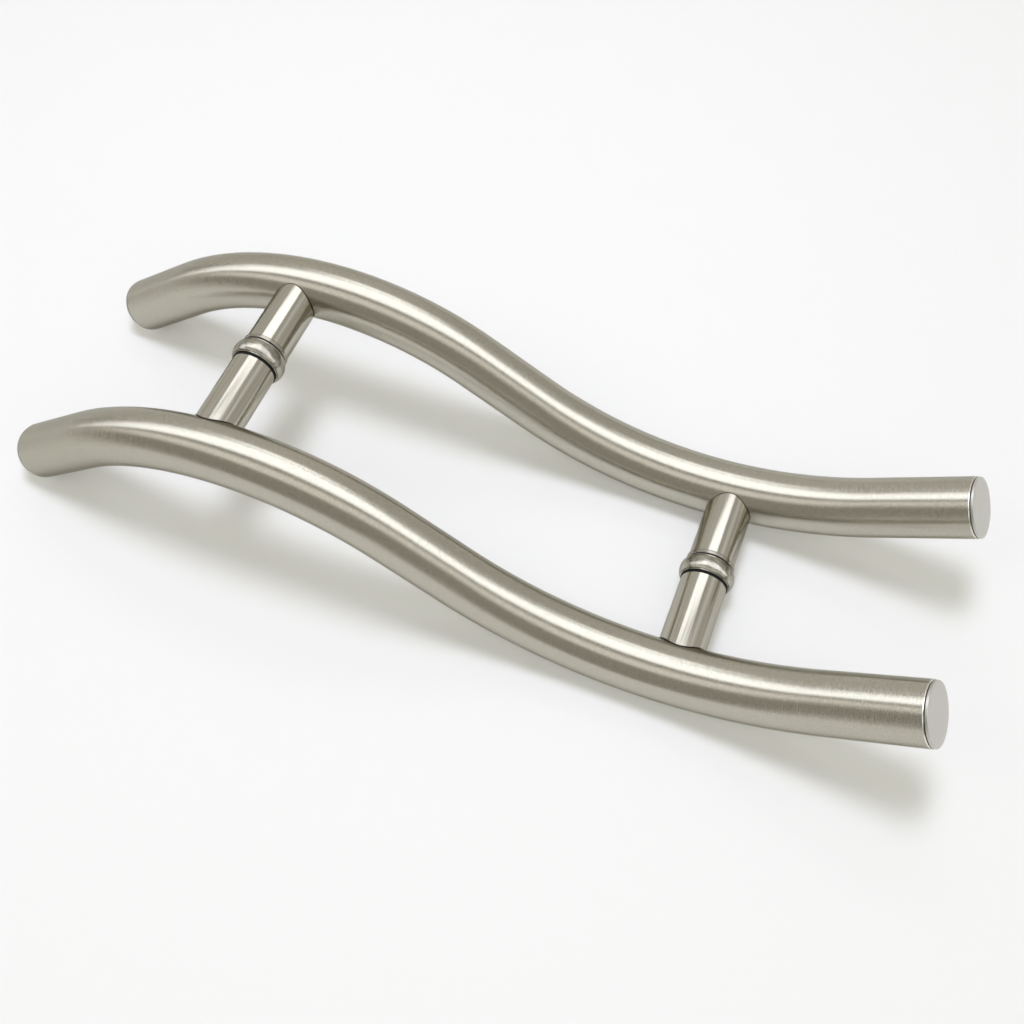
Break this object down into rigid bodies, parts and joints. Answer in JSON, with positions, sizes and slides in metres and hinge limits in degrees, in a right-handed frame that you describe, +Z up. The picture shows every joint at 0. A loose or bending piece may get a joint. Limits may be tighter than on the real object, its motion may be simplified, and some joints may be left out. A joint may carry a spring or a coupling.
{
  "type": "glass door pull handle",
  "caption": "Back-to-back glass door pull: wave-shaped round tube bars on round standoff posts with beaded spacer collars, in satin stainless steel.",
  "frame": {"origin": "under the middle of the object, on the surface it lies on, half way between the two bars", "axes": "+X along the bars towards the raised right ends, +Y through the door from the front bar to the rear bar, +Z up as the object lies"},
  "size_m": [0.5172, 0.152, 0.097],
  "materials": {
    "bar_tube": "satin, fine brushing",
    "cap_disc": "satin, flat",
    "post_tube": "half polished, drawn lengthwise",
    "collar_ring": "half polished, turned",
    "gasket_rubber": "matt black",
    "barrel_steel": "half polished, turned",
    "inner_steel": "as turned",
    "stud_steel": "bright zinc",
    "sleeve_nylon": "natural nylon",
    "grub_steel": "black oxide"
  },
  "bodies": {
    "root": {"front_bar": "bar_tube", "rear_bar": "bar_tube", "front_left_cap": "cap_disc", "front_right_cap": "cap_disc", "rear_left_cap": "cap_disc", "rear_right_cap": "cap_disc", "front_left_post": "post_tube", "front_right_post": "post_tube", "rear_left_post": "post_tube", "rear_right_post": "post_tube", "left_collar": "collar_ring", "right_collar": "collar_ring", "left_front_gasket": "gasket_rubber", "right_front_gasket": "gasket_rubber", "left_rear_gasket": "gasket_rubber", "right_rear_gasket": "gasket_rubber", "left_fixing_barrel": "barrel_steel", "right_fixing_barrel": "barrel_steel", "left_threaded_insert": "inner_steel", "right_threaded_insert": "inner_steel", "left_through_stud": "stud_steel", "right_through_stud": "stud_steel", "left_stud_sleeve": "sleeve_nylon", "right_stud_sleeve": "sleeve_nylon", "left_post_bush": "inner_steel", "right_post_bush": "inner_steel", "left_grub_screw": "grub_steel", "right_grub_screw": "grub_steel"}
  },
  "joints": []
}
